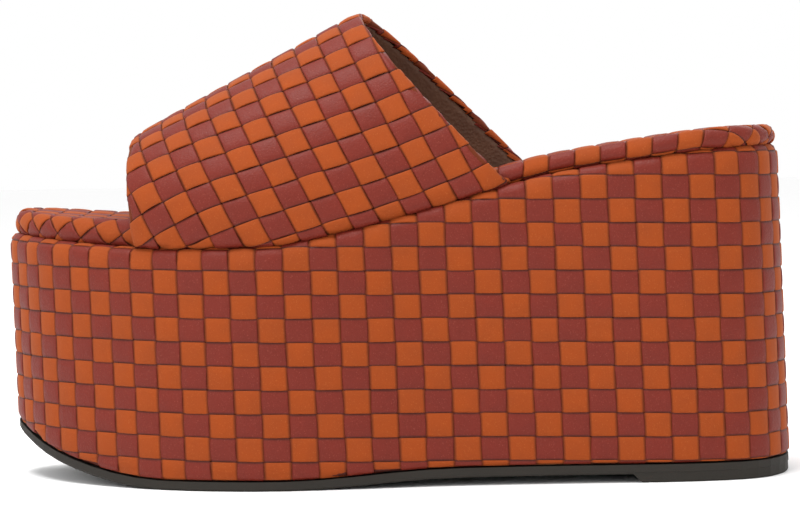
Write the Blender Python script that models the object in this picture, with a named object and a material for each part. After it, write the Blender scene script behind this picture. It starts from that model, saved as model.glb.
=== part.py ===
# Left flatform slide sandal: a tall block and a footbed wrapped in woven leather, under one wide woven band.
# Metres, +Z up. The toe points along -X, the outer side of the foot faces -Y, and the floor is z = 0.

import math
from collections import namedtuple

import bmesh
import bpy
import numpy as np
from mathutils import Vector

# Block
LENGTH = 0.2604
BALL_WIDTH = 0.094
FRONT_HEIGHT = 0.0770
HEEL_HEIGHT = 0.1068
TOE_LIFT = 0.0040
TOE_LIFT_START = 0.75
TOE_UNDERCUT = 0.0025
HEEL_FLARE = 0.0030
SIDE_DRAFT = 0.0008
EDGE_RADIUS = 0.0030

# Outsole
OUTSOLE_THICKNESS = 0.0030
OUTSOLE_INSET = 0.0004
OUTSOLE_EDGE = 0.0006
TOE_SPRING = 0.0155
HEEL_LUG = 0.0027
HEEL_LUG_LENGTH = 0.0500
BREAST_SLANT = math.radians(45)

# Footbed
FOOTBED_THICKNESS = 0.0066
FOOTBED_TOE_PADDING = 0.0028
FOOTBED_TOE_INSET = 0.0024
FOOTBED_TOE_START = 0.82
FOOTBED_HEEL_INSET = 0.0012
FOOTBED_COLUMN = 0.0082
FOOTBED_ROW = 0.0080
FOOTBED_DISH = 0.0012

# Band over the foot
BAND_WALL = 0.0023
BAND_INSET = 0.0005
BAND_FRONT = 0.0450
BAND_FRONT_RISE = 0.0352
BAND_FRONT_TILT = math.radians(5.5)
CREST_SLOPE = math.radians(27.7)
CREST_ASIDE = 0.0050
THROAT_BACK = 0.1218
THROAT_SLOPE = math.radians(46.6)
THROAT_SKEW = math.radians(9.0)

# Weave
STRIP_WIDTH = 0.0086
ROW_HEIGHT = 0.00755
WEAVE_RELIEF = 0.0009
WEAVE_START = 0.0037
ROW_START = 0.0001
ROW_TILT = math.radians(1)

# Fits
CLEARANCE = 0.0003
OVERCUT = 0.0020

# Outline of the block from above: share of the length from the heel, share of half the ball width.
# The outer side of the foot comes first, from the heel to the toe, and then the inner side back.
PlanPoint = namedtuple("PlanPoint", "along aside")
PLAN = (
    PlanPoint(0.000, 0.03),
    PlanPoint(0.016, -0.35),
    PlanPoint(0.062, -0.62),
    PlanPoint(0.150, -0.735),
    PlanPoint(0.300, -0.765),
    PlanPoint(0.440, -0.825),
    PlanPoint(0.560, -0.945),
    PlanPoint(0.660, -1.0),
    PlanPoint(0.760, -0.895),
    PlanPoint(0.850, -0.645),
    PlanPoint(0.935, -0.275),
    PlanPoint(0.986, 0.13),
    PlanPoint(1.000, 0.40),
    PlanPoint(0.984, 0.64),
    PlanPoint(0.930, 0.83),
    PlanPoint(0.830, 0.965),
    PlanPoint(0.720, 1.0),
    PlanPoint(0.600, 0.925),
    PlanPoint(0.470, 0.81),
    PlanPoint(0.330, 0.745),
    PlanPoint(0.170, 0.725),
    PlanPoint(0.068, 0.62),
    PlanPoint(0.016, 0.38),
)

# Top of the block: share of the length from the heel, share of the rise from front to heel height.
RisePoint = namedtuple("RisePoint", "along rise")
TOP_RISE = (
    RisePoint(0.00, 1.00),
    RisePoint(0.10, 0.943),
    RisePoint(0.20, 0.836),
    RisePoint(0.25, 0.772),
    RisePoint(0.30, 0.695),
    RisePoint(0.35, 0.59),
    RisePoint(0.40, 0.468),
    RisePoint(0.50, 0.24),
    RisePoint(0.58, 0.085),
    RisePoint(0.65, 0.0),
    RisePoint(1.00, 0.0),
)

# Underside of the sheet: share of the length from the heel, shares of the lug's height and of the toe spring.
UnderPoint = namedtuple("UnderPoint", "along lug spring")
UNDERSIDE = (
    UnderPoint(0.00, 1.00, 0.0),
    UnderPoint(0.40, 1.00, 0.0),
    UnderPoint(0.48, 0.78, 0.0),
    UnderPoint(0.56, 0.28, 0.0),
    UnderPoint(0.63, 0.00, 0.0),
    UnderPoint(0.78, 0.00, 0.0),
    UnderPoint(0.83, 0.00, 0.05),
    UnderPoint(0.88, 0.00, 0.20),
    UnderPoint(0.94, 0.00, 0.50),
    UnderPoint(1.00, 0.00, 1.00),
)

# Padding of the footbed: share of the length from the heel, share of the extra padding at the toe.
PadPoint = namedtuple("PadPoint", "along padding")
FOOTBED_PADDING = (
    PadPoint(0.00, 0.40),
    PadPoint(0.08, 0.20),
    PadPoint(0.20, 0.00),
    PadPoint(0.50, 0.00),
    PadPoint(0.72, 0.90),
    PadPoint(0.85, 1.00),
    PadPoint(1.00, 1.00),
)

# Side of the footbed, from its underside up: share of the thickness, how far it lies in from the fullest line.
EdgePoint = namedtuple("EdgePoint", "height inward")
FOOTBED_EDGE = (
    EdgePoint(0.00, 0.26),
    EdgePoint(0.18, 0.05),
    EdgePoint(0.50, 0.00),
    EdgePoint(0.82, 0.17),
    EdgePoint(1.00, 0.42),
    EdgePoint(1.20, 0.60),
)

# Cross-sections of the band: share of its length from the toe opening, and how square its arch is.
ArchPoint = namedtuple("ArchPoint", "along square")
BAND_ARCH = (
    ArchPoint(0.0, 2.35),
    ArchPoint(0.5, 2.2),
    ArchPoint(1.0, 2.05),
)

STATIONS = 36
ARCH_POINTS = 49
SOLVE_STEPS = 12


def smooth_line(points, closed=False, steps=20):
    """Points along a smooth line through the given ones, from cubics whose tangents follow their neighbours."""
    points = np.array(points, float)
    if closed:
        points = np.vstack([points[-1], points, points[0], points[1]])
    else:
        points = np.vstack([2 * points[0] - points[1], points, 2 * points[-1] - points[-2]])
    at = np.concatenate([[0], np.cumsum(np.linalg.norm(np.diff(points, axis=0), axis=1))])
    slopes = (points[2:] - points[:-2]) / (at[2:] - at[:-2])[:, None]
    line = []
    for k in range(1, len(points) - 2):
        span = at[k + 1] - at[k]
        for share in np.arange(steps) / steps:
            line.append(
                points[k] * (1 + 2 * share) * (1 - share) ** 2
                + points[k + 1] * share**2 * (3 - 2 * share)
                + slopes[k - 1] * span * share * (1 - share) ** 2
                - slopes[k] * span * share**2 * (1 - share)
            )
    if not closed:
        line.append(points[-2])
    return np.array(line)


def plan_outline():
    """The block's outline, closed: share along, share aside, outward normal and distance round from the heel."""
    line = smooth_line(PLAN, closed=True)
    start = int(np.argmin(line[:, 0]))
    line = np.roll(line, -start, axis=0)
    line[:, 0] = (line[:, 0] - line[:, 0].min()) / np.ptp(line[:, 0])
    line[:, 1] /= np.where(line[:, 1] < 0, -line[:, 1].min(), line[:, 1].max())
    real = line * (-LENGTH, BALL_WIDTH / 2)
    way = np.roll(real, -1, axis=0) - np.roll(real, 1, axis=0)
    way /= np.linalg.norm(way, axis=1)[:, None]
    normal = np.column_stack([-way[:, 1], way[:, 0]])
    steps = np.linalg.norm(np.diff(np.vstack([real, real[:1]]), axis=0), axis=1)
    around = np.concatenate([[0], np.cumsum(steps)])
    table = np.column_stack([line, normal])
    return np.column_stack([around, np.vstack([table, table[:1]])])


OUTLINE = plan_outline()
PERIMETER = OUTLINE[-1, 0]
TOE_INDEX = int(np.argmax(OUTLINE[:, 1]))
TOP_LINE = smooth_line(TOP_RISE)
UNDER_LINE = smooth_line(UNDERSIDE)
PAD_LINE = smooth_line(FOOTBED_PADDING)
BAND_WIDTH_USED = BAND_INSET + WEAVE_RELIEF + BAND_WALL + CLEARANCE


def block_top(along):
    """Height of the block's top, which rises from the ball to the heel and a little at the toe."""
    rise = np.interp(along, TOP_LINE[:, 0], TOP_LINE[:, 1])
    lift = TOE_LIFT * max(0.0, (along - TOE_LIFT_START) / (1 - TOE_LIFT_START)) ** 2
    return FRONT_HEIGHT + (HEEL_HEIGHT - FRONT_HEIGHT) * rise + lift


def sheet_under(along):
    """Height of the outsole sheet's underside, clear of the floor at the arch and the toe."""
    lug = np.interp(along, UNDER_LINE[:, 0], UNDER_LINE[:, 1])
    spring = np.interp(along, UNDER_LINE[:, 0], UNDER_LINE[:, 2])
    return HEEL_LUG * max(0.0, lug) + TOE_SPRING * max(0.0, spring)


def lengthwise(along, height):
    """X at a share of the length: the heel wall leans out and the toe wall in towards the floor."""
    level = height / HEEL_HEIGHT
    heel = LENGTH / 2 - HEEL_FLARE * level
    toe = -LENGTH / 2 + TOE_UNDERCUT * (1 - level)
    return heel + (toe - heel) * along


def share_at(x, height):
    """The share of the length that lies at X."""
    return (x - lengthwise(0, height)) / (lengthwise(1, height) - lengthwise(0, height))


def on_outline(around, height, outset=0.0):
    """The point of the wall at a distance round from the heel, moved out along its normal."""
    along, aside, out_x, out_y = (
        np.interp(around % PERIMETER, OUTLINE[:, 0], OUTLINE[:, k]) for k in range(1, 5)
    )
    half = BALL_WIDTH / 2 - SIDE_DRAFT * (1 - height / HEEL_HEIGHT)
    return Vector((lengthwise(along, height) + out_x * outset, half * aside + out_y * outset, height))


def side_at(along, inner):
    """How far round the outline a share of the length lies, on the outer or the inner side of the foot."""
    if inner:
        return np.interp(-along, -OUTLINE[TOE_INDEX:, 1], OUTLINE[TOE_INDEX:, 0])
    return np.interp(along, OUTLINE[: TOE_INDEX + 1, 1], OUTLINE[: TOE_INDEX + 1, 0])


def ring(height, outset):
    """A closed ring of points round the shoe, in pairs that face each other across it at the same X."""
    sides = []
    for part in (OUTLINE[: TOE_INDEX + 1], OUTLINE[TOE_INDEX:][::-1]):
        wall = [on_outline(row[0], height(row[1]), outset(row[1])) for row in part]
        sides.append(np.array(wall)[::-1])
    toe, heel = sides[0][0][0], sides[0][-1][0]
    rows = []
    for k in range(STATIONS + 1):
        x = heel + (toe - heel) * (1 - math.cos(math.pi * k / STATIONS)) / 2
        z = height((x - heel) / (toe - heel))
        z = height(min(1.0, max(0.0, share_at(x, z))))
        rows.append([Vector((x, np.interp(x, side[:, 0], side[:, 1]), z)) for side in sides])
    return [row[0] for row in rows] + [row[1] for row in rows[-2:0:-1]]


def loft(name, rings):
    """A closed solid through rings of equal count, each end closed by strips from side to side."""
    mesh = bmesh.new()
    loops = [[mesh.verts.new(point) for point in points] for points in rings]
    count = len(loops[0])
    for lower, upper in zip(loops, loops[1:]):
        for k in range(count):
            nearby = (k + 1) % count
            mesh.faces.new((lower[k], lower[nearby], upper[nearby], upper[k]))
    for loop in (loops[0][::-1], loops[-1]):
        for k in range(STATIONS):
            corners = [loop[k], loop[k + 1], loop[-(k + 1) % count], loop[-k % count]]
            mesh.faces.new(list(dict.fromkeys(corners)))
    return finished(name, mesh)


def finished(name, mesh):
    """Makes an object of the mesh, with its faces pointing out."""
    bmesh.ops.recalc_face_normals(mesh, faces=mesh.faces)
    data = bpy.data.meshes.new(name)
    mesh.to_mesh(data)
    mesh.free()
    return bpy.data.objects.new(name, data)


def weave(mesh, columns, rows, place, around=False):
    """Strips over one and under one. Each cell arches along its own strip and dives under the next."""
    corners = {}

    def corner(column, row):
        key = (column % columns if around else column, row)
        if key not in corners:
            corners[key] = mesh.verts.new(place(*key, 0.0))
        return corners[key]

    for column in range(columns):
        for row in range(rows):
            a, b = corner(column, row), corner(column + 1, row)
            d, c = corner(column, row + 1), corner(column + 1, row + 1)
            if (column + row) % 2 == 0:
                low = mesh.verts.new(place(column + 0.5, row, WEAVE_RELIEF))
                high = mesh.verts.new(place(column + 0.5, row + 1, WEAVE_RELIEF))
                faces = ((a, low, high, d), (low, b, c, high), (a, b, low), (c, d, high))
            else:
                left = mesh.verts.new(place(column, row + 0.5, WEAVE_RELIEF))
                right = mesh.verts.new(place(column + 1, row + 0.5, WEAVE_RELIEF))
                faces = ((a, b, right, left), (left, right, c, d), (d, a, left), (b, c, right))
            for face in faces:
                mesh.faces.new(face)
    return corners


def woven_sheet(name, columns, rows, place, thickness):
    """A closed sheet with the weave on its outer face and a plain inner face."""
    mesh = bmesh.new()
    outer = weave(mesh, columns, rows, place)
    inner = {key: mesh.verts.new(place(*key, -thickness)) for key in outer}
    for column in range(columns):
        for row in range(rows):
            square = ((column, row), (column, row + 1), (column + 1, row + 1), (column + 1, row))
            mesh.faces.new([inner[key] for key in square])
    rim = [(column, 0) for column in range(columns)]
    rim += [(columns, row) for row in range(rows)]
    rim += [(column, rows) for column in range(columns, 0, -1)]
    rim += [(0, row) for row in range(rows, 0, -1)]
    for here, onward in zip(rim, rim[1:] + rim[:1]):
        mesh.faces.new((inner[here], inner[onward], outer[onward], outer[here]))
    return finished(name, mesh)


def box(name, corner, far_corner):
    """A plain block between two corners, for cutting."""
    mesh = bmesh.new()
    bmesh.ops.create_cube(mesh, size=1)
    low, high = Vector(corner), Vector(far_corner)
    bmesh.ops.scale(mesh, vec=high - low, verts=mesh.verts)
    bmesh.ops.translate(mesh, vec=(low + high) / 2, verts=mesh.verts)
    return finished(name, mesh)


def side_profile(name, points):
    """A solid of one outline in X and Z, wider than the shoe."""
    mesh = bmesh.new()
    face = mesh.faces.new([mesh.verts.new((x, -BALL_WIDTH, z)) for x, z in points])
    grown = bmesh.ops.extrude_face_region(mesh, geom=[face])["geom"]
    moved = [item for item in grown if isinstance(item, bmesh.types.BMVert)]
    bmesh.ops.translate(mesh, vec=(0, 2 * BALL_WIDTH, 0), verts=moved)
    return finished(name, mesh)


def combine(target, tool, operation):
    """Adds a Boolean with the tool, which is kept out of the picture."""
    step = target.modifiers.new(tool.name, "BOOLEAN")
    step.operation = operation
    step.object = tool
    tool.hide_render = True
    tool.display_type = "WIRE"
    CUTTERS.objects.link(tool)


def leather(name, colour, roughness):
    """A plain material in the piece's own colour."""
    material = bpy.data.materials.new(name)
    material.use_nodes = True
    shader = material.node_tree.nodes["Principled BSDF"]
    shader.inputs["Base Color"].default_value = (*colour, 1)
    shader.inputs["Roughness"].default_value = roughness
    shader.inputs["Metallic"].default_value = 0.0
    return material


def piece(target, material):
    """Puts a finished piece of the sandal in its collection."""
    target.data.materials.append(material)
    SANDAL.objects.link(target)
    return target


def make_outsole():
    """Thin rubber sheet with toe spring and arch, and a moulded lug under the heel with a slanted breast."""

    def level(share):
        return lambda along: sheet_under(along) + OUTSOLE_THICKNESS * share

    def inset(depth):
        return lambda along: -(OUTSOLE_INSET + depth)

    sheet = loft(
        "outsole",
        [
            ring(level(0.0), inset(OUTSOLE_EDGE)),
            ring(level(0.25), inset(0)),
            ring(level(1.0), inset(0)),
        ],
    )
    lug = loft(
        "heel_lug",
        [
            ring(lambda along: 0.0, inset(OUTSOLE_EDGE)),
            ring(lambda along: OUTSOLE_EDGE, inset(OUTSOLE_EDGE / 3)),
            ring(lambda along: HEEL_LUG + OUTSOLE_THICKNESS / 2, inset(OUTSOLE_EDGE / 3)),
        ],
    )
    breast = LENGTH / 2 - HEEL_LUG_LENGTH
    run = 2 * OVERCUT / math.tan(BREAST_SLANT)
    deep = HEEL_LUG + OUTSOLE_THICKNESS
    waist = side_profile(
        "breast_cutter",
        [
            (breast + run / 2, -OVERCUT),
            (breast - (deep + OVERCUT) / math.tan(BREAST_SLANT), deep + OVERCUT),
            (-LENGTH, deep + OVERCUT),
            (-LENGTH, -OVERCUT),
        ],
    )
    combine(lug, waist, "DIFFERENCE")
    combine(sheet, lug, "UNION")
    return piece(sheet, leather("outsole_rubber", (0.045, 0.040, 0.034), 0.75))


def make_platform():
    """Block wrapped in the weave, its top edge turned over, its ends leaning, its underside the outsole's."""
    columns = 2 * round(PERIMETER / STRIP_WIDTH / 2)
    rows = math.ceil((HEEL_HEIGHT + 4 * OVERCUT) / ROW_HEIGHT)

    def place(column, row, lift):
        around = WEAVE_START + PERIMETER * column / columns
        level = ROW_START + row * ROW_HEIGHT
        point = on_outline(around, level, lift - WEAVE_RELIEF)
        return on_outline(around, level - point.x * math.tan(ROW_TILT), lift - WEAVE_RELIEF)

    mesh = bmesh.new()
    corners = weave(mesh, columns, rows, place, around=True)
    for row in (0, rows):
        mesh.faces.new([corners[column, row] for column in range(columns)])
    block = finished("platform", mesh)

    def rounded(turn):
        drop = EDGE_RADIUS * (1 - math.sin(turn))
        inward = EDGE_RADIUS * (1 - math.cos(turn)) - WEAVE_RELIEF / 2
        return ring(lambda along: block_top(along) - drop, lambda along: -inward)

    def underside(along):
        return sheet_under(along) + OUTSOLE_THICKNESS + CLEARANCE

    rings = [ring(underside, lambda along: WEAVE_RELIEF / 2)]
    rings += [rounded(math.pi / 2 * k / 4) for k in range(5)]
    combine(block, loft("platform_form", rings), "INTERSECT")
    return piece(block, leather("platform_weave", (0.42, 0.13, 0.045), 0.6))


def footbed_inset(along):
    """How far in from the block's edge the footbed lies: it leaves room for the band's wall beside it."""
    heel_end = share_at(throat_foot(), HEEL_HEIGHT)
    back = min(1.0, max(0.0, (heel_end - along) / (heel_end / 2)))
    front = min(1.0, max(0.0, (along - FOOTBED_TOE_START) / (1 - FOOTBED_TOE_START)))
    beside = BAND_WIDTH_USED + CLEARANCE
    narrow = beside + (FOOTBED_HEEL_INSET - beside) * back * back * (3 - 2 * back)
    return narrow + (FOOTBED_TOE_INSET - narrow) * front


def footbed_thickness(along):
    """Thickness of the footbed: thin at the arch, better padded at the toe and a little at the heel."""
    padding = np.interp(along, PAD_LINE[:, 0], PAD_LINE[:, 1])
    return FOOTBED_THICKNESS + FOOTBED_TOE_PADDING * max(0.0, padding)


def make_footbed():
    """Padded board on the block, wrapped in the same weave laid along it, with a rounded edge."""

    def edge(point):
        return ring(
            lambda along: block_top(along) + CLEARANCE + footbed_thickness(along) * point.height,
            lambda along: -(footbed_inset(along) + FOOTBED_THICKNESS * point.inward),
        )

    columns = math.ceil(LENGTH / FOOTBED_COLUMN)
    rows = math.ceil(BALL_WIDTH / FOOTBED_ROW)

    def place(column, row, lift):
        x = (column - columns / 2) * FOOTBED_COLUMN
        y = (row - rows / 2) * FOOTBED_ROW
        along = min(1.0, max(0.0, share_at(x, HEEL_HEIGHT)))
        dish = FOOTBED_DISH * max(0.0, 1 - (y / (BALL_WIDTH / 3)) ** 2)
        surface = block_top(along) + CLEARANCE + footbed_thickness(along) - WEAVE_RELIEF - dish
        return Vector((x, y, surface + lift))

    board = woven_sheet("footbed", columns, rows, place, 3 * FOOTBED_THICKNESS)
    combine(board, loft("footbed_form", [edge(point) for point in FOOTBED_EDGE]), "INTERSECT")
    return piece(board, leather("footbed_weave", (0.48, 0.15, 0.05), 0.6))


def crest(at):
    """Point on the band's top line, at a distance back from the toe opening."""
    front = -LENGTH / 2 + BAND_FRONT
    x = front + at * math.cos(CREST_SLOPE)
    return x, FRONT_HEIGHT + BAND_FRONT_RISE + at * math.sin(CREST_SLOPE)


def throat_foot():
    """X where the throat's edge comes down to the block on the middle line."""
    top_x, top_z = crest((THROAT_BACK - BAND_FRONT) / math.cos(CREST_SLOPE))
    x = top_x
    for _ in range(SOLVE_STEPS):
        x = top_x + (top_z - block_top(share_at(x, HEEL_HEIGHT))) / math.tan(THROAT_SLOPE)
    return x


def band_section(at):
    """One cross-section of the band's outer face, square to its top line: points and distances from the crest."""
    top_x, top_z = crest(at)
    drop = 0.0
    for _ in range(SOLVE_STEPS):
        along = share_at(top_x + drop * math.sin(CREST_SLOPE), FRONT_HEIGHT)
        drop = (top_z - block_top(min(1.0, max(0.0, along)))) / math.cos(CREST_SLOPE)
    along = min(0.99, max(0.01, along))
    height = block_top(along)
    outset = -(BAND_INSET + WEAVE_RELIEF)
    outer = on_outline(side_at(along, False), height, outset).y
    inner = on_outline(side_at(along, True), height, outset).y
    along_band = (at * math.cos(CREST_SLOPE)) / (THROAT_BACK - BAND_FRONT)
    square = np.interp(along_band, *zip(*BAND_ARCH))
    middle = (outer + inner) / 2 + CREST_ASIDE
    sides = []
    for foot_y in (outer, inner):
        turn = np.linspace(0, math.pi / 2, ARCH_POINTS)
        across = middle + (foot_y - middle) * np.sin(turn) ** (2 / square)
        down = drop * (1 - np.cos(turn) ** (2 / square))
        across = np.append(across, foot_y)
        down = np.append(down, drop + LENGTH / 2)
        back = top_x + down * math.sin(CREST_SLOPE)
        line = np.column_stack([back, across, top_z - down * math.cos(CREST_SLOPE)])
        lengths = np.linalg.norm(np.diff(line, axis=0), axis=1)
        sides.append((np.concatenate([[0], np.cumsum(lengths)]), line))
    return sides


def band_point(at, aside):
    """Point on the band's outer face, at a distance back from the toe opening and aside from the crest."""
    distances, line = band_section(at)[0 if aside < 0 else 1]
    return Vector([np.interp(abs(aside), distances, line[:, k]) for k in range(3)])


def make_upper():
    """Wide band of woven leather over the foot: a thin wall, open at the toe, at the throat and underneath."""
    ahead = BAND_FRONT_RISE * math.tan(CREST_SLOPE) + 3 * STRIP_WIDTH
    behind = (throat_foot() - crest(0)[0]) / math.cos(CREST_SLOPE)
    columns = math.ceil((ahead + behind) / STRIP_WIDTH)
    reach = crest(behind)[1] - FRONT_HEIGHT + BALL_WIDTH / 2
    rows = 2 * math.ceil(reach / STRIP_WIDTH)

    def place(column, row, lift):
        at = column * STRIP_WIDTH - ahead
        aside = (row - rows / 2) * STRIP_WIDTH
        nudge = STRIP_WIDTH / 8
        lengthways = band_point(at + nudge, aside) - band_point(at - nudge, aside)
        crossways = band_point(at, aside + nudge) - band_point(at, aside - nudge)
        normal = lengthways.cross(crossways).normalized()
        return band_point(at, aside) + normal * lift

    band = woven_sheet("upper", columns, rows, place, BAND_WALL)
    far = 2 * LENGTH
    toe = box("toe_opening", (-far, -far, -far), (0, far, far))
    toe.location = (crest(0)[0], 0, crest(0)[1])
    toe.rotation_euler = (0, -BAND_FRONT_TILT, 0)
    combine(band, toe, "DIFFERENCE")
    throat = box("throat_opening", (0, -far, -far), (far, far, far))
    throat_at = (THROAT_BACK - BAND_FRONT) / math.cos(CREST_SLOPE)
    top_x, top_z = crest(throat_at)
    throat.location = (top_x, 0, top_z)
    throat.rotation_euler = (0, THROAT_SLOPE - math.pi / 2, -THROAT_SKEW)
    combine(band, throat, "DIFFERENCE")
    shares = [k / STATIONS for k in range(STATIONS + 1)]
    bed_line = [(lengthwise(u, block_top(u)), block_top(u) + CLEARANCE) for u in shares]
    heel_z, toe_z = bed_line[0][1], bed_line[-1][1]
    bed = [(far, -far), (far, heel_z), *bed_line, (-far, toe_z), (-far, -far)]
    combine(band, side_profile("bed_cutter", bed), "DIFFERENCE")
    return piece(band, leather("upper_weave", (0.48, 0.15, 0.05), 0.6))


for old in list(bpy.data.objects):
    bpy.data.objects.remove(old, do_unlink=True)

SANDAL = bpy.data.collections.new("woven_flatform_slide")
CUTTERS = bpy.data.collections.new("cutters")
bpy.context.scene.collection.children.link(SANDAL)
bpy.context.scene.collection.children.link(CUTTERS)
CUTTERS.hide_render = True

make_outsole()
make_platform()
make_footbed()
make_upper()
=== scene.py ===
import math

import bmesh
import bpy
import numpy as np
from mathutils import Matrix, Vector


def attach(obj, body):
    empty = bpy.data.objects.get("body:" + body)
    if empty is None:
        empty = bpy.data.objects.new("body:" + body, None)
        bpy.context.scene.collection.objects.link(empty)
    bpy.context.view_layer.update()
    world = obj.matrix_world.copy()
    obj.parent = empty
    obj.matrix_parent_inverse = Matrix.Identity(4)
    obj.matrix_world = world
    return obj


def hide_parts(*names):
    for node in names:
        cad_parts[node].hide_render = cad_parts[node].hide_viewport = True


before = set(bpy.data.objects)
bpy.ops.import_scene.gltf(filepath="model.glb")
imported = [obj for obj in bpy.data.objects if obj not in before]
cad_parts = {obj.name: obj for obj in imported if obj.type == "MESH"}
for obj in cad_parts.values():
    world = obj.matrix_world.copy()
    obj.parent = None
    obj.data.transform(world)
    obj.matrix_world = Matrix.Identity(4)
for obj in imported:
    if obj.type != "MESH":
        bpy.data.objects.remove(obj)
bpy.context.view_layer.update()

# Camera, floor and light
# A long lens near the height of the heel, a little towards the heel side, over a white sweep.
# Broad soft lamps stand above, in front and behind, so that the shoe throws almost no shadow.

CAMERA_YAW = math.radians(2.5)
CAMERA_PITCH = math.radians(2.43)
CAMERA_ROLL = math.radians(-1.0)
CAMERA_AWAY = 0.9
CAMERA_SHIFT_X = 0.00295
CAMERA_HEIGHT = 0.110
CAMERA_LENS_MM = 122.85
CAMERA_SENSOR_MM = 36
FLOOR_HALF = 6

camera_data = bpy.data.cameras.new("camera")
camera_data.lens = CAMERA_LENS_MM
camera_data.sensor_width = CAMERA_SENSOR_MM
camera_data.clip_start = 0.05
camera = bpy.data.objects.new("camera", camera_data)
bpy.context.scene.collection.objects.link(camera)
camera_place = Vector(
    (
        CAMERA_SHIFT_X + CAMERA_AWAY * math.sin(CAMERA_YAW),
        -CAMERA_AWAY * math.cos(CAMERA_YAW),
        CAMERA_HEIGHT,
    )
)
camera_turn = (
    Matrix.Rotation(CAMERA_YAW, 4, "Z")
    @ Matrix.Rotation(math.pi / 2 - CAMERA_PITCH, 4, "X")
    @ Matrix.Rotation(CAMERA_ROLL, 4, "Z")
)
camera.matrix_world = Matrix.Translation(camera_place) @ camera_turn
bpy.context.scene.camera = camera
bpy.context.scene.view_settings.view_transform = "Standard"


def plain_material(name, colour, roughness):
    """A material of one colour all over."""
    material = bpy.data.materials.new(name)
    material.use_nodes = True
    shader = material.node_tree.nodes["Principled BSDF"]
    shader.inputs["Base Color"].default_value = (*colour, 1)
    shader.inputs["Roughness"].default_value = roughness
    return material


floor_mesh = bmesh.new()
bmesh.ops.create_grid(floor_mesh, x_segments=1, y_segments=1, size=FLOOR_HALF)
floor_data = bpy.data.meshes.new("floor")
floor_mesh.to_mesh(floor_data)
floor_mesh.free()
floor = bpy.data.objects.new("floor", floor_data)
floor.data.materials.append(plain_material("white_sweep", (0.97, 0.97, 0.97), 0.9))
bpy.context.scene.collection.objects.link(floor)

sky = bpy.data.worlds.new("studio")
sky.use_nodes = True
sky.node_tree.nodes["Background"].inputs["Color"].default_value = (1, 1, 1, 1)
sky.node_tree.nodes["Background"].inputs["Strength"].default_value = 1.0
bpy.context.scene.world = sky

for lamp_name, place, aim, size, power in (
    ("key_above", (-0.25, -0.25, 1.3), (0, 0, 0.05), 0.7, 15),
    ("front_left", (-0.9, -1.3, 0.6), (0, 0, 0.07), 0.8, 3),
    ("behind", (0.5, 1.2, 0.9), (0, 0, 0.07), 0.8, 5),
):
    lamp_data = bpy.data.lights.new(lamp_name, "AREA")
    lamp_data.shape = "DISK"
    lamp_data.size = size
    lamp_data.energy = power
    lamp = bpy.data.objects.new(lamp_name, lamp_data)
    lamp.location = place
    lamp.rotation_euler = (Vector(aim) - Vector(place)).to_track_quat("-Z", "Y").to_euler()
    bpy.context.scene.collection.objects.link(lamp)


# Outsole
# One sheet of dark olive rubber with toe spring and a moulded lug under the heel.
# It is cemented below the block.
# The solid keeps its form; the rubber is matt, very finely pebbled and a little uneven in colour.


class Signal:
    """A shader socket: Python's operators on it add Math nodes, and node() adds any other node."""

    def __init__(self, tree, socket=None):
        self.tree = tree
        self.socket = socket

    def node(self, kind, settings, values, output=0):
        """Adds a node: its settings first, then the value or link of each named socket."""
        made = self.tree.nodes.new("ShaderNode" + kind)
        for name, value in settings.items():
            setattr(made, name, value)
        for name, value in values.items():
            if isinstance(value, Signal):
                self.tree.links.new(value.socket, made.inputs[name])
            else:
                made.inputs[name].default_value = value
        return Signal(self.tree, made.outputs[output])

    def math(self, operation, first, second):
        return self.node("Math", {"operation": operation}, {0: first, 1: second})

    def __add__(self, other):
        return self.math("ADD", self, other)

    __radd__ = __add__

    def __mul__(self, other):
        return self.math("MULTIPLY", self, other)

    __rmul__ = __mul__

    def __sub__(self, other):
        return self.math("SUBTRACT", self, other)

    def __rsub__(self, other):
        return self.math("SUBTRACT", other, self)


def blank_finish(name):
    """An empty Principled material, its shader and a Signal to build its nodes from."""
    material = plain_material(name, (0.5, 0.5, 0.5), 0.5)
    return material, material.node_tree.nodes["Principled BSDF"], Signal(material.node_tree)


def blend_colours(tools, share, first, second):
    """Mixes two colours or colour signals."""
    return tools.node(
        "Mix", {"data_type": "RGBA"}, {0: share, 6: first, 7: second}, output=2
    )


def noise(tools, place, scale, detail=3.0):
    """Smooth noise about 0.5, at a scale per metre."""
    return tools.node("TexNoise", {}, {"Vector": place, "Scale": scale, "Detail": detail})


def connect(shader, name, signal):
    signal.tree.links.new(signal.socket, shader.inputs[name])


rubber, rubber_shader, rubber_tools = blank_finish("dark_rubber")
rubber_shader.inputs["Specular IOR Level"].default_value = 0.25
rubber_place = rubber_tools.node("TexCoord", {}, {}, output=3)
rubber_cloud = noise(rubber_tools, rubber_place, 60.0)
connect(
    rubber_shader,
    "Base Color",
    blend_colours(
        rubber_tools, rubber_cloud, (0.017, 0.0145, 0.0115, 1), (0.028, 0.024, 0.019, 1)
    ),
)
connect(rubber_shader, "Roughness", 0.62 + 0.2 * rubber_cloud)
rubber_pebble = noise(rubber_tools, rubber_place, 2600.0)
connect(
    rubber_shader,
    "Normal",
    rubber_tools.node(
        "Bump", {}, {"Strength": 0.35, "Distance": 0.0002, "Height": rubber_pebble}
    ),
)
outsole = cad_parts["outsole"]
outsole.data.materials.clear()
outsole.data.materials.append(rubber)


# Platform
# A light block wrapped in a plain weave of orange nubuck strips round it and dark grained ones upright.
# The weave is turned over the top edge and in under the footbed, and tucked under the bottom edge.

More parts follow.
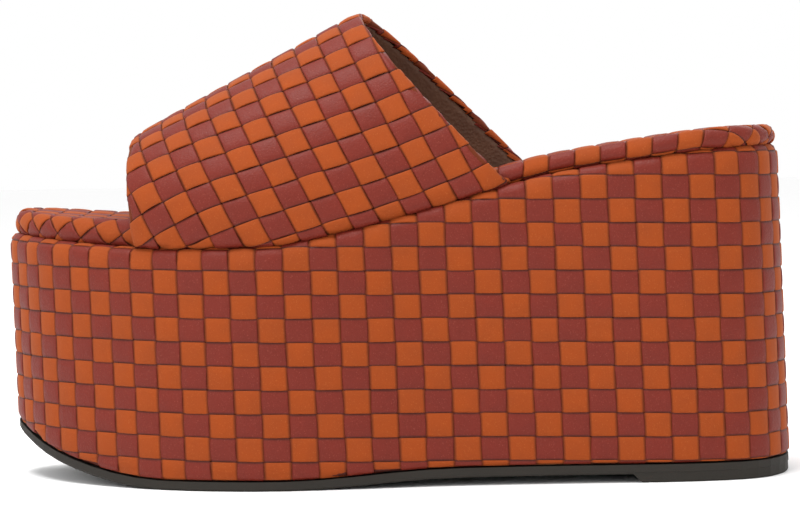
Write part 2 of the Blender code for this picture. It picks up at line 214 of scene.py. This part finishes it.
LENGTH = 0.2604
BALL_WIDTH = 0.094
FRONT_HEIGHT = 0.0770
HEEL_HEIGHT = 0.1068
TOE_LIFT = 0.0040
TOE_LIFT_START = 0.75
TOE_UNDERCUT = 0.0025
HEEL_FLARE = 0.0030
SIDE_DRAFT = 0.0008
TOP_RADIUS = 0.0034
FOOT_RADIUS = 0.0012
SOLE_TOP = 0.0034
HEEL_LUG = 0.0027
TOE_SPRING = 0.0155
STRIP_WIDTH = 0.0086
ROW_HEIGHT = 0.00755
WALL_COLUMN = 0.008745
WALL_OUTER_COLUMNS = 32
WALL_ROW_START = -0.00647
ROW_TILT = math.radians(1)
WALL_RELIEF = 0.00042
WALL_GAP = 0.008
WALL_TURN_IN = 0.009
WALL_TUCK_UNDER = 0.003
STRIP_THICKNESS = 0.0008
BACKING_DEPTH = 0.0011
BACKING_THICKNESS = 0.0004
LINE_STEPS = 30
WELD = 1e-6
OUTWARD_STEP = 0.0005

# Outline of the block from above: share of the length from the heel, share of half the ball width.
PLAN = (
    (0.000, 0.03), (0.016, -0.35), (0.062, -0.62), (0.150, -0.735), (0.300, -0.765),
    (0.440, -0.825), (0.560, -0.945), (0.660, -1.0), (0.760, -0.895), (0.850, -0.645),
    (0.935, -0.275), (0.986, 0.13), (1.000, 0.40), (0.984, 0.64), (0.930, 0.83),
    (0.830, 0.965), (0.720, 1.0), (0.600, 0.925), (0.470, 0.81), (0.330, 0.745),
    (0.170, 0.725), (0.068, 0.62), (0.016, 0.38),
)
# Top of the block: share of the length from the heel, share of the rise from front to heel height.
TOP_RISE = (
    (0.00, 1.00), (0.10, 0.943), (0.20, 0.836), (0.25, 0.772), (0.30, 0.695),
    (0.35, 0.59), (0.40, 0.468), (0.50, 0.24), (0.58, 0.085), (0.65, 0.0), (1.00, 0.0),
)
# Underside: share of the length from the heel, shares of the lug's height and of the toe spring.
UNDERSIDE = (
    (0.00, 1.00, 0.0), (0.40, 1.00, 0.0), (0.48, 0.78, 0.0), (0.56, 0.28, 0.0),
    (0.63, 0.00, 0.0), (0.78, 0.00, 0.0), (0.83, 0.00, 0.05), (0.88, 0.00, 0.20),
    (0.94, 0.00, 0.50), (1.00, 0.00, 1.00),
)


def smooth_line(points, closed=False):
    """Points along a smooth line through the given ones."""
    points = np.array(points, float)
    if closed:
        points = np.vstack([points[-1], points, points[0], points[1]])
    else:
        points = np.vstack([2 * points[0] - points[1], points, 2 * points[-1] - points[-2]])
    spans = np.linalg.norm(np.diff(points, axis=0), axis=1)
    at = np.concatenate([[0], np.cumsum(spans)])
    slopes = (points[2:] - points[:-2]) / (at[2:] - at[:-2])[:, None]
    line = []
    for k in range(1, len(points) - 2):
        span = at[k + 1] - at[k]
        for t in np.arange(LINE_STEPS) / LINE_STEPS:
            line.append(
                points[k] * (1 + 2 * t) * (1 - t) ** 2
                + points[k + 1] * t**2 * (3 - 2 * t)
                + slopes[k - 1] * span * t * (1 - t) ** 2
                - slopes[k] * span * t**2 * (1 - t)
            )
    if not closed:
        line.append(points[-2])
    return np.array(line)


def plan_outline():
    """Rows round the block from the heel: distance round, share along, share aside, outward normal."""
    line = smooth_line(PLAN, closed=True)
    line = np.roll(line, -int(np.argmin(line[:, 0])), axis=0)
    line[:, 0] = (line[:, 0] - line[:, 0].min()) / np.ptp(line[:, 0])
    line[:, 1] /= np.where(line[:, 1] < 0, -line[:, 1].min(), line[:, 1].max())
    real = line * (-LENGTH, BALL_WIDTH / 2)
    way = np.roll(real, -1, axis=0) - np.roll(real, 1, axis=0)
    way /= np.linalg.norm(way, axis=1)[:, None]
    table = np.column_stack([line, -way[:, 1], way[:, 0]])
    steps = np.linalg.norm(np.diff(np.vstack([real, real[:1]]), axis=0), axis=1)
    around = np.concatenate([[0], np.cumsum(steps)])
    return np.column_stack([around, np.vstack([table, table[:1]])])


OUTLINE = plan_outline()
PERIMETER = OUTLINE[-1, 0]
TOE_INDEX = int(np.argmax(OUTLINE[:, 1]))
TOP_LINE = smooth_line(TOP_RISE)
UNDER_LINE = smooth_line(UNDERSIDE)
WALL_COLUMNS = 2 * round(PERIMETER / STRIP_WIDTH / 2)
WALL_ROWS = math.ceil((HEEL_HEIGHT + 0.008) / ROW_HEIGHT) + 3


def block_top(along):
    rise = np.interp(along, TOP_LINE[:, 0], TOP_LINE[:, 1])
    lift = TOE_LIFT * np.maximum(0, (along - TOE_LIFT_START) / (1 - TOE_LIFT_START)) ** 2
    return FRONT_HEIGHT + (HEEL_HEIGHT - FRONT_HEIGHT) * rise + lift


def block_foot(along):
    lug = np.maximum(0, np.interp(along, UNDER_LINE[:, 0], UNDER_LINE[:, 1]))
    spring = np.maximum(0, np.interp(along, UNDER_LINE[:, 0], UNDER_LINE[:, 2]))
    return HEEL_LUG * lug + TOE_SPRING * spring + SOLE_TOP


def lengthwise(along, height):
    level = height / HEEL_HEIGHT
    heel = LENGTH / 2 - HEEL_FLARE * level
    toe = -LENGTH / 2 + TOE_UNDERCUT * (1 - level)
    return heel + (toe - heel) * along


def share_at(x, height):
    share = (x - lengthwise(0, height)) / (lengthwise(1, height) - lengthwise(0, height))
    return np.clip(share, 0, 1)


def on_wall(around, height, outset):
    """Points of the wall at a distance round from the heel, moved out along its normal."""
    along, aside, out_x, out_y = (
        np.interp(around % PERIMETER, OUTLINE[:, 0], OUTLINE[:, k]) for k in range(1, 5)
    )
    half = BALL_WIDTH / 2 - SIDE_DRAFT * (1 - height / HEEL_HEIGHT)
    x = lengthwise(along, height) + out_x * outset
    return np.column_stack([x, half * aside + out_y * outset, height])


def wall_place(column, row, lift):
    """The wall's weave: it turns in over the top edge and in under the bottom edge.
    The outer side's columns are the wider ones, and the inner side's share what is left."""
    outer_run = WALL_OUTER_COLUMNS * WALL_COLUMN
    around = np.interp(column, (0, WALL_OUTER_COLUMNS, WALL_COLUMNS), (0, outer_run, PERIMETER))
    along = np.interp(around % PERIMETER, OUTLINE[:, 0], OUTLINE[:, 1])
    level = WALL_ROW_START + row * ROW_HEIGHT
    level -= lengthwise(along, HEEL_HEIGHT / 2) * math.tan(ROW_TILT)
    top = block_top(along) - TOP_RADIUS
    foot = block_foot(along) + FOOT_RADIUS
    over = np.maximum(0, level - top)
    under = np.maximum(0, foot - level)
    over_turn = np.minimum(over / TOP_RADIUS, math.pi / 2)
    under_turn = np.minimum(under / FOOT_RADIUS, math.pi / 2)
    over_run = np.maximum(0, over - TOP_RADIUS * math.pi / 2)
    under_run = np.maximum(0, under - FOOT_RADIUS * math.pi / 2)
    outset = lift * np.cos(over_turn) * np.cos(under_turn)
    outset -= TOP_RADIUS * (1 - np.cos(over_turn))
    outset -= FOOT_RADIUS * (1 - np.cos(under_turn)) + over_run + under_run
    height = np.clip(level, foot, top) + (TOP_RADIUS + lift) * np.sin(over_turn)
    height -= FOOT_RADIUS * np.sin(under_turn)
    kept = (over_run < WALL_TURN_IN) & (under_run < WALL_TUCK_UNDER)
    return on_wall(around, height, outset - WALL_RELIEF), kept


# Where the lines along a strip lie, from edge to edge, and how far each lies below its middle.
ACROSS = (-1.0, -0.88, -0.45, 0.45, 0.88, 1.0)
EDGE_DROP = (0.00022, 0.00005, 0.0, 0.0, 0.00005, 0.00022)
FLATNESS = 0.38
SWAY = 0.02
SWAY_WAVES = (3, 7, 11)
GAP_SPREAD = (0.75, 1.25)


def finished(name, mesh, material, thickness):
    """Makes a piece of the mesh, smooth, with its thickness laid inwards, riding on the shoe."""
    data = bpy.data.meshes.new(name)
    mesh.to_mesh(data)
    mesh.free()
    data.polygons.foreach_set("use_smooth", [True] * len(data.polygons))
    data.materials.append(material)
    made = bpy.data.objects.new(name, data)
    bpy.context.scene.collection.objects.link(made)
    wall = made.modifiers.new("wall", "SOLIDIFY")
    wall.thickness = thickness
    wall.offset = -1
    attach(made, "root")
    return made


def lay(mesh, column, row, lift, place):
    """Moves the mesh's points to their place, turns its faces outwards and drops what isn't kept."""
    points, kept = place(column, row, lift)
    outward = place(column, row, lift + OUTWARD_STEP)[0] - points
    for vertex, point in zip(mesh.verts, points):
        vertex.co = point
    mesh.normal_update()
    if sum(face.normal.dot(outward[face.verts[0].index]) for face in mesh.faces) < 0:
        bmesh.ops.reverse_faces(mesh, faces=mesh.faces)
    dropped = [vertex for vertex, keep in zip(mesh.verts, kept) if not keep]
    bmesh.ops.delete(mesh, geom=dropped, context="VERTS")
    bmesh.ops.remove_doubles(mesh, verts=mesh.verts, dist=WELD)


def strips(name, runs_along, cells, count, place, relief, gap, material, slot, seed, steps=5):
    """Strips of a plain weave in one mesh, along the columns or up the rows, over one and under one."""
    mesh = bmesh.new()
    depth = mesh.verts.layers.float.new("depth")
    for k in range(count):
        grown = bmesh.ops.create_grid(
            mesh, x_segments=cells * steps, y_segments=len(ACROSS) - 1, size=0.5
        )
        bmesh.ops.translate(mesh, vec=(0, 0, k), verts=grown["verts"])
    spots = np.array([vertex.co for vertex in mesh.verts])
    strip = np.round(spots[:, 2]).astype(int)
    along = (spots[:, 0] + 0.5) * cells
    shares = np.linspace(0, 1, len(ACROSS))
    lateral = np.interp(spots[:, 1] + 0.5, shares, ACROSS)
    drop = np.interp(spots[:, 1] + 0.5, shares, EDGE_DROP)
    chance = np.random.default_rng(seed)
    half = 0.5 - gap * chance.uniform(*GAP_SPREAD, count)
    phase = chance.uniform(0, 2 * math.pi, (len(SWAY_WAVES), count))
    wander = sum(
        np.sin(2 * math.pi * waves * along / cells + phase[k, strip])
        for k, waves in enumerate(SWAY_WAVES)
    )
    across = strip + 0.5 + lateral * half[strip] + SWAY / 2 * wander
    side = 1 if runs_along else -1
    swing = side * np.cos(math.pi * (along - 0.5)) * np.where(strip % 2 == 0, 1, -1)
    height = relief * np.sign(swing) * np.abs(swing) ** FLATNESS
    # The height share kept in the depth attribute sets the leather's painted shade where a strip dives.
    for vertex, value in zip(mesh.verts, np.clip(height / relief, 0, 1)):
        vertex[depth] = value
    column, row = (along, across) if runs_along else (across, along)
    lay(mesh, column, row, height - drop, place)
    return finished(name, mesh, material, STRIP_THICKNESS)


def backing(name, columns, rows, place, depth, material, thickness, steps=2):
    """One plain sheet beneath the strips: the lining, or a near-black sheet whose colour is painted
    shade in the gaps.
    """
    mesh = bmesh.new()
    bmesh.ops.create_grid(mesh, x_segments=columns * steps, y_segments=rows * steps, size=0.5)
    spots = np.array([vertex.co for vertex in mesh.verts])
    column, row = (spots[:, 0] + 0.5) * columns, (spots[:, 1] + 0.5) * rows
    lay(mesh, column, row, np.full(len(row), -depth), place)
    return finished(name, mesh, material, thickness)


def strip_leather(name, colour, shadow, pale, roughness, grain, fleck, sheen):
    """Leather of the strips: clouded, with painted shade where a strip dives under the crossing one,
    finely grained and flecked.
    """
    material, shader, tools = blank_finish(name)
    shader.inputs["Specular IOR Level"].default_value = 0.22
    shader.inputs["Sheen Weight"].default_value = sheen
    shader.inputs["Sheen Roughness"].default_value = 0.4
    shader.inputs["Sheen Tint"].default_value = (1.0, 0.50, 0.22, 1)
    place = tools.node("TexCoord", {}, {}, output=3)
    depth = tools.node("Attribute", {"attribute_name": "depth"}, {}, output=2)
    cloud = noise(tools, place, 140.0, 4.0)
    fine = noise(tools, place, 2300.0, 2.0)
    speck = tools.node(
        "TexVoronoi", {"feature": "F1"}, {"Vector": place, "Scale": 1500.0}, output=0
    )
    darker, lighter = ((*(share * level for share in colour), 1) for level in (0.86, 1.14))
    clouded = blend_colours(tools, cloud, darker, lighter)
    dots = tools.node(
        "MapRange", {}, {"Value": fine * (1 - speck), 1: 0.36, 2: 0.56, 3: 0.0, 4: fleck}
    )
    flecked = blend_colours(tools, dots, clouded, (*pale, 1))
    # Painted shade: the colour falls towards the shadow colour where the strip sinks to dive under the
    # crossing strip.
    dive_shade = tools.node("MapRange", {}, {"Value": depth, 1: 0.05, 2: 0.40, 3: 0.85, 4: 0.0})
    connect(shader, "Base Color", blend_colours(tools, dive_shade, flecked, (*shadow, 1)))
    connect(shader, "Roughness", roughness + 0.16 * cloud - 0.1 * dots)
    relief = noise(tools, place, 900.0, 3.0) * 0.6 + speck * 0.7 + fine * 0.4
    connect(
        shader,
        "Normal",
        tools.node("Bump", {}, {"Strength": grain, "Distance": 0.00025, "Height": relief}),
    )
    return material


ORANGE = strip_leather(
    "orange_nubuck",
    colour=(0.275, 0.047, 0.0050),
    shadow=(0.090, 0.014, 0.003),
    pale=(0.46, 0.15, 0.040),
    roughness=0.75,
    grain=0.22,
    fleck=0.22,
    sheen=0.10,
)
DARK = strip_leather(
    "dark_grained_leather",
    colour=(0.146, 0.0145, 0.0068),
    shadow=(0.045, 0.008, 0.004),
    pale=(0.38, 0.11, 0.07),
    roughness=0.48,
    grain=0.5,
    fleck=0.22,
    sheen=0.0,
)
# Near-black sheet under the weave of the block and the footbed: painted shade, seen through the gaps
# between strips and in the seam below the footbed.
GAP_SHADE = plain_material("painted_gap_shade", (0.02, 0.005, 0.003), 0.95)

wall_look = (wall_place, WALL_RELIEF, WALL_GAP)
wall_bands = strips(
    "platform_bands", True, WALL_COLUMNS, WALL_ROWS, *wall_look, ORANGE, "platform", seed=11
)
wall_stakes = strips(
    "platform_stakes", False, WALL_ROWS, WALL_COLUMNS, *wall_look, DARK, "platform", seed=12
)
wall_gap_shade = backing(
    "platform_gap_shade", WALL_COLUMNS, WALL_ROWS, wall_place, BACKING_DEPTH, GAP_SHADE,
    BACKING_THICKNESS,
)
for made in (wall_bands, wall_stakes, wall_gap_shade):
    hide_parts("platform")


# Footbed
# A padded board on the block, covered in the same weave with its strips lengthwise and crosswise.
# The cover is drawn round the edge of the board and in beneath it.

BED_THICKNESS = 0.0066
BED_RADIUS = 0.0031
BED_TOE_INSET = 0.0024
BED_TOE_START = 0.82
BED_TOE_PADDING = 0.0028
BED_HEEL_INSET = 0.0012
BED_BESIDE_BAND = 0.0043
BED_DISH = 0.0012
BED_COLUMN = 0.0082
BED_SIDE_ROWS = 4
BED_X_START = 0.0029
THROAT_FOOT = 0.055
BED_COLUMNS = 36
BED_ROWS = 16
BED_RELIEF = 0.0005
BED_GAP = 0.018
BED_TUCK = 0.003
BED_WIDTH_SHARES = (0.11, 0.47)
CLEARANCE = 0.0003
NEAREST_BATCH = 4000

# Padding under the cover: share of the length from the heel, share of the extra padding at the toe.
BED_PADDING = (
    (0.00, 0.40), (0.08, 0.20), (0.20, 0.0), (0.50, 0.0),
    (0.72, 0.90), (0.85, 1.0), (1.00, 1.0),
)
PAD_LINE = smooth_line(BED_PADDING)


def bed_thickness(along):
    padding = np.maximum(0, np.interp(along, PAD_LINE[:, 0], PAD_LINE[:, 1]))
    return BED_THICKNESS + BED_TOE_PADDING * padding


def bed_inset(along):
    """How far in from the block's edge the footbed lies."""
    heel_end = share_at(THROAT_FOOT, HEEL_HEIGHT)
    back = np.clip((heel_end - along) / (heel_end / 2), 0, 1)
    front = np.clip((along - BED_TOE_START) / (1 - BED_TOE_START), 0, 1)
    narrow = BED_BESIDE_BAND + (BED_HEEL_INSET - BED_BESIDE_BAND) * back * back * (3 - 2 * back)
    return narrow + (BED_TOE_INSET - narrow) * front


BED_EDGE = on_wall(
    OUTLINE[:-1, 0], block_top(OUTLINE[:-1, 1]), -(bed_inset(OUTLINE[:-1, 1]) + BED_RADIUS)
)
BED_NORMAL = OUTLINE[:-1, 3:5]


def bed_half(x, inner):
    """Half the width that the lengthwise strips share at X, no narrower than near the heel."""
    along = np.clip(share_at(x, HEEL_HEIGHT), *BED_WIDTH_SHARES)
    side = BED_EDGE[TOE_INDEX:] if inner else BED_EDGE[:TOE_INDEX]
    share = OUTLINE[TOE_INDEX:-1, 1] if inner else OUTLINE[:TOE_INDEX, 1]
    order = np.argsort(share)
    return np.abs(np.interp(along, share[order], side[order, 1]))


def bed_place(column, row, lift):
    """The footbed's weave: strips along and across, drawn round the edge and in beneath."""
    x = BED_X_START + (column - BED_COLUMNS / 2) * BED_COLUMN
    rows = (row - BED_ROWS / 2) / BED_SIDE_ROWS
    y = rows * np.where(rows < 0, bed_half(x, False), bed_half(x, True))
    flat = np.column_stack([x, y])
    nearest = np.concatenate(
        [
            np.argmin(((part[:, None] - BED_EDGE[None, :, :2]) ** 2).sum(axis=2), axis=1)
            for part in np.array_split(flat, 1 + len(flat) // NEAREST_BATCH)
        ]
    )
    normal = BED_NORMAL[nearest]
    beyond = np.maximum(0, ((flat - BED_EDGE[nearest, :2]) * normal).sum(axis=1))
    hinge = flat - normal * beyond[:, None]
    along = share_at(hinge[:, 0], HEEL_HEIGHT)
    thick = bed_thickness(along) - BED_RELIEF
    radius = thick / 2
    turn = np.minimum(beyond / radius, math.pi)
    run = np.maximum(0, beyond - math.pi * radius)
    dish = BED_DISH * np.maximum(0, 1 - (hinge[:, 1] / (BALL_WIDTH / 3)) ** 2)
    top = block_top(along) + CLEARANCE + thick
    reach = (BED_RADIUS + lift) * np.sin(turn) - run
    height = top - radius + (radius + lift) * np.cos(turn) - dish * np.cos(turn / 2)
    return np.column_stack([hinge + normal * reach[:, None], height]), run < BED_TUCK


bed_look = (bed_place, BED_RELIEF, BED_GAP)
bed_bands = strips(
    "footbed_bands", True, BED_COLUMNS, BED_ROWS, *bed_look, ORANGE, "footbed", seed=21, steps=8
)
bed_stakes = strips(
    "footbed_stakes", False, BED_ROWS, BED_COLUMNS, *bed_look, DARK, "footbed", seed=22, steps=8
)
bed_gap_shade = backing(
    "footbed_gap_shade", BED_COLUMNS, BED_ROWS, bed_place, BACKING_DEPTH, GAP_SHADE,
    BACKING_THICKNESS, steps=4,
)
for made in (bed_bands, bed_stakes, bed_gap_shade):
    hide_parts("footbed")


# Upper
# One wide band of woven leather. Orange strips follow its top line and dark ones cross the foot.
# Its edges are folded in at the toe and the throat, and its sides are lasted in under the footbed.

BAND_FRONT = 0.0450
BAND_FRONT_RISE = 0.0352
BAND_FRONT_TILT = math.radians(5.5)
CREST_SLOPE = math.radians(27.7)
CREST_ASIDE = 0.0050
THROAT_BACK = 0.1218
THROAT_SLOPE = math.radians(46.6)
THROAT_SKEW = math.radians(9.0)
BAND_INSET = 0.0005
BAND_RELIEF = 0.00065
BAND_TUCK = 0.0030
HEM_RADIUS = 0.0012
ARCH_SQUARE = ((0.0, 2.35), (0.5, 2.2), (1.0, 2.05))
BAND_STRIP = 0.0082
BAND_X_START = 0.0040
BAND_FIRST_COLUMN = 8
BAND_COLUMNS = 24
BAND_ROWS = 32
BAND_GAP = 0.018
HEM_FADE = 0.003
HEM_FLATTEN = 0.75
HEM_TURNED = 0.0015
FOOT_MARGIN = 0.004

# The band's surface is kept as a grid: sections across it, each with points at even steps.
GRID_FIRST = -0.055
GRID_LAST = 0.145
SECTION_STEP = 0.002
GRID_STEP = 0.0005
GRID_REACH = 0.135
NUDGE = 0.0015

crest_x = -LENGTH / 2 + BAND_FRONT
crest_z = FRONT_HEIGHT + BAND_FRONT_RISE
throat_at = (THROAT_BACK - BAND_FRONT) / math.cos(CREST_SLOPE)


def side_at(along, inner):
    """How far round the outline a share of the length lies, on the outer or the inner side."""
    if inner:
        return np.interp(-along, -OUTLINE[TOE_INDEX:, 1], OUTLINE[TOE_INDEX:, 0])
    return np.interp(along, OUTLINE[: TOE_INDEX + 1, 1], OUTLINE[: TOE_INDEX + 1, 0])


def band_section(at):
    """The band's section square to its top line: for each side, points from the crest down
    at even steps, and how far from the crest its foot is."""
    top_x = crest_x + at * math.cos(CREST_SLOPE)
    top_z = crest_z + at * math.sin(CREST_SLOPE)
    drop = 0.0
    for _ in range(12):
        along = share_at(top_x + drop * math.sin(CREST_SLOPE), FRONT_HEIGHT)
        drop = (top_z - block_top(along) - CLEARANCE) / math.cos(CREST_SLOPE)
    along = float(np.clip(along, 0.01, 0.99))
    height = block_top(along)
    outset = -(BAND_INSET + BAND_RELIEF)
    feet = [
        on_wall(np.array([side_at(along, inner)]), np.array([height]), outset)[0, 1]
        for inner in (False, True)
    ]
    back = (at * math.cos(CREST_SLOPE)) / (THROAT_BACK - BAND_FRONT)
    square = np.interp(back, *zip(*ARCH_SQUARE))
    middle = (feet[0] + feet[1]) / 2 + CREST_ASIDE
    rows = []
    for foot_y in feet:
        turn = np.linspace(0, math.pi / 2, 90)
        across = middle + (foot_y - middle) * np.sin(turn) ** (2 / square)
        down = (drop - BAND_TUCK) * (1 - np.cos(turn) ** (2 / square))
        inwards = -1 if foot_y > middle else 1
        tuck = np.linspace(0, math.pi / 2, 9)[1:]
        across = np.append(across, foot_y + inwards * BAND_TUCK * (1 - np.cos(tuck)))
        down = np.append(down, drop - BAND_TUCK + BAND_TUCK * np.sin(tuck))
        across = np.append(across, across[-1] + inwards * GRID_REACH)
        down = np.append(down, drop)
        line = np.column_stack(
            [top_x + down * math.sin(CREST_SLOPE), across, top_z - down * math.cos(CREST_SLOPE)]
        )
        reach = np.concatenate([[0], np.cumsum(np.linalg.norm(np.diff(line, axis=0), axis=1))])
        even = np.arange(0, GRID_REACH, GRID_STEP)
        points = np.column_stack([np.interp(even, reach, line[:, k]) for k in range(3)])
        rows.append((points, reach[-2]))
    return rows


GRID_AT = np.arange(GRID_FIRST, GRID_LAST, SECTION_STEP)
sections = [band_section(at) for at in GRID_AT]
BAND_GRID = np.array([np.vstack([pair[0][0][:0:-1], pair[1][0]]) for pair in sections])
BAND_FEET = np.array([[-pair[0][1], pair[1][1]] for pair in sections])
HALF_GRID = (BAND_GRID.shape[1] - 1) // 2


def band_point(at, aside):
    """Points of the band's middle surface, back from the toe opening and aside from the crest."""
    u = np.clip((at - GRID_FIRST) / SECTION_STEP, 0, len(GRID_AT) - 1.001)
    v = np.clip(aside / GRID_STEP + HALF_GRID, 0, 2 * HALF_GRID - 0.001)
    i, j = u.astype(int), v.astype(int)
    du, dv = (u - i)[:, None], (v - j)[:, None]
    near = BAND_GRID[i, j] * (1 - dv) + BAND_GRID[i, j + 1] * dv
    far = BAND_GRID[i + 1, j] * (1 - dv) + BAND_GRID[i + 1, j + 1] * dv
    return near * (1 - du) + far * du


def unit(vectors):
    return vectors / np.maximum(1e-12, np.linalg.norm(vectors, axis=1))[:, None]


def band_frame(at, aside):
    """Points, the direction back along the band, and the outward normal."""
    back = unit(band_point(at + NUDGE, aside) - band_point(at - NUDGE, aside))
    side = unit(band_point(at, aside + NUDGE) - band_point(at, aside - NUDGE))
    return band_point(at, aside), back, unit(np.cross(back, side))


TOE_POINT = np.array([crest_x, 0, crest_z])
THROAT_POINT = TOE_POINT + throat_at * np.array([math.cos(CREST_SLOPE), 0, math.sin(CREST_SLOPE)])
THROAT_NORMAL = np.array(
    Matrix.Rotation(-THROAT_SKEW, 3, "Z")
    @ Vector((math.sin(THROAT_SLOPE), 0, math.cos(THROAT_SLOPE)))
)
TOE_NORMAL = np.array([-math.cos(BAND_FRONT_TILT), 0, -math.sin(BAND_FRONT_TILT)])


def edge_at(aside, point, normal, inset):
    """Where along the band the plane of an opening cuts it, for each distance from the crest."""
    at = np.full(len(aside), 0.03)
    for _ in range(14):
        here = ((band_point(at, aside) - point) * normal).sum(axis=1) + inset
        change = band_point(at + NUDGE, aside) - band_point(at - NUDGE, aside)
        slope = (change * normal).sum(axis=1) / (2 * NUDGE)
        at = at - np.clip(here / slope, -0.02, 0.02)
        at = np.clip(at, GRID_FIRST + SECTION_STEP, GRID_LAST - 2 * SECTION_STEP)
    return at


ASIDE_TABLE = np.arange(-GRID_REACH + 0.002, GRID_REACH - 0.002, 0.001)
TOE_EDGE = edge_at(ASIDE_TABLE, TOE_POINT, TOE_NORMAL, HEM_RADIUS + BAND_RELIEF)
THROAT_EDGE = edge_at(ASIDE_TABLE, THROAT_POINT, THROAT_NORMAL, HEM_RADIUS + BAND_RELIEF)


def band_place(column, row, lift):
    """The band's weave, folded in round both openings and lasted in at the sides."""
    at = BAND_X_START + (column - BAND_FIRST_COLUMN) * BAND_STRIP
    aside = (row - BAND_ROWS / 2) * BAND_STRIP
    toe, throat = (np.interp(aside, ASIDE_TABLE, edge) for edge in (TOE_EDGE, THROAT_EDGE))
    before, past = np.maximum(0, toe - at), np.maximum(0, at - throat)
    beyond = np.maximum(before, past)
    point, back, normal = band_frame(np.clip(at, toe, np.maximum(toe, throat)), aside)
    way = back * np.where(past > before, 1, -1)[:, None]
    turn = np.minimum(beyond / HEM_RADIUS, math.pi)[:, None]
    run = np.maximum(0, beyond - math.pi * HEM_RADIUS)[:, None]
    hem = np.clip(1 - np.minimum(at - toe, throat - at) / HEM_FADE, 0, 1)
    arm = HEM_RADIUS + (lift * (1 - HEM_FLATTEN * hem))[:, None]
    points = point - normal * HEM_RADIUS
    points = points + normal * arm * np.cos(turn) + way * (arm * np.sin(turn) - run)
    feet = [np.interp(at, GRID_AT, BAND_FEET[:, k]) for k in (0, 1)]
    inside = (aside > feet[0] - FOOT_MARGIN) & (aside < feet[1] + FOOT_MARGIN) & (toe < throat)
    return points, inside & (run[:, 0] < HEM_TURNED)


band_look = (band_place, BAND_RELIEF, BAND_GAP)
band_bands = strips(
    "upper_bands", True, BAND_COLUMNS, BAND_ROWS, *band_look, ORANGE, "upper", seed=31, steps=8
)
band_stakes = strips(
    "upper_stakes", False, BAND_ROWS, BAND_COLUMNS, *band_look, DARK, "upper", seed=32, steps=8
)


# Lining of the upper
# One sheet of brown pebbled leather, glued inside the band a little short of both folded edges.
# Its sides run down to the block, as the band's own do.

LINING_DEPTH = 0.0016
LINING_THICKNESS = 0.0006
LINING_SHORT = 0.0010
LINING_MARGIN = 0.002
LINING_COLUMNS = 30
LINING_ROWS = 60


def lining_place(column, row, lift):
    """The lining: from one opening to the other, and from side to side down to the block."""
    low = BAND_FEET[:, 0].min() - LINING_MARGIN
    high = BAND_FEET[:, 1].max() + LINING_MARGIN
    aside = low + (high - low) * row / LINING_ROWS
    toe, throat = (np.interp(aside, ASIDE_TABLE, edge) for edge in (TOE_EDGE, THROAT_EDGE))
    at = toe + LINING_SHORT + (throat - toe - 2 * LINING_SHORT) * column / LINING_COLUMNS
    point, _, normal = band_frame(at, aside)
    feet = [np.interp(at, GRID_AT, BAND_FEET[:, k]) for k in (0, 1)]
    inside = (aside > feet[0] - LINING_MARGIN) & (aside < feet[1] + LINING_MARGIN)
    return point + normal * lift[:, None], inside & (toe < throat)


lining_leather, lining_shader, lining_tools = blank_finish("brown_lining")
lining_coords = lining_tools.node("TexCoord", {}, {}, output=3)
lining_cloud = noise(lining_tools, lining_coords, 90.0)
connect(
    lining_shader,
    "Base Color",
    blend_colours(
        lining_tools, lining_cloud, (0.075, 0.030, 0.014, 1), (0.135, 0.062, 0.030, 1)
    ),
)
connect(lining_shader, "Roughness", 0.6 + 0.2 * lining_cloud)
lining_pebble = lining_tools.node(
    "TexVoronoi", {"feature": "F1"}, {"Vector": lining_coords, "Scale": 900.0}
)
connect(
    lining_shader,
    "Normal",
    lining_tools.node(
        "Bump", {}, {"Strength": 0.5, "Distance": 0.0003, "Height": lining_pebble}
    ),
)
band_lining = backing(
    "upper_lining", LINING_COLUMNS, LINING_ROWS, lining_place, LINING_DEPTH, lining_leather,
    LINING_THICKNESS,
)
for made in (band_bands, band_stakes, band_lining):
    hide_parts("upper")
